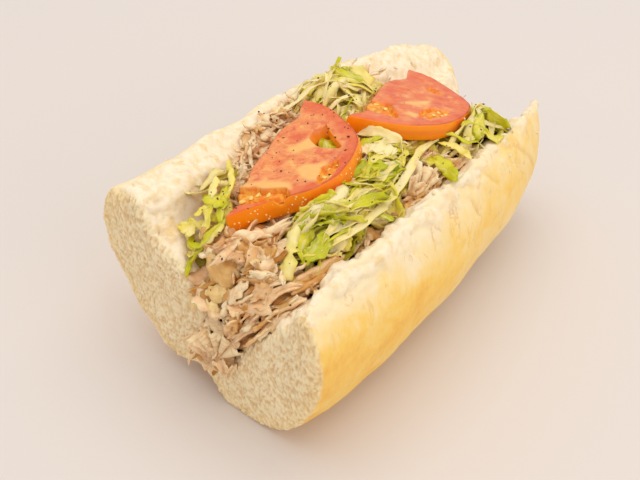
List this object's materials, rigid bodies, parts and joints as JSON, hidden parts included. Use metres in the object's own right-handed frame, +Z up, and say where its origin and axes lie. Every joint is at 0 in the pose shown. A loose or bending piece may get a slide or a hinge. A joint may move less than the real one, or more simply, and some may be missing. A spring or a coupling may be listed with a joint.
{
  "type": "half submarine sandwich",
  "caption": "Cut half of a long sandwich roll, opened into a V and filled with chopped chicken and onion, shredded lettuce and tomato slices.",
  "frame": {"origin": "middle of the bounding box, at the level of the table", "axes": "+Z up, +Y along the roll from its cut end to its rounded end, +X across towards the half with the rounded crust"},
  "size_m": [0.1072, 0.2064, 0.0847],
  "materials": {
    "bread": "soft golden crust, creamy crumb on the cut faces",
    "chicken": "moist pulled chicken and cooked onion",
    "lettuce": "thin crisp shreds, cream to green",
    "tomato": "wet orange-red flesh and skin"
  },
  "bodies": {
    "root": {"roll": "bread", "chicken_filling": "chicken", "lettuce_bed": "lettuce", "lettuce_front": "lettuce", "tomato_near": "tomato", "tomato_far": "tomato"}
  },
  "joints": []
}
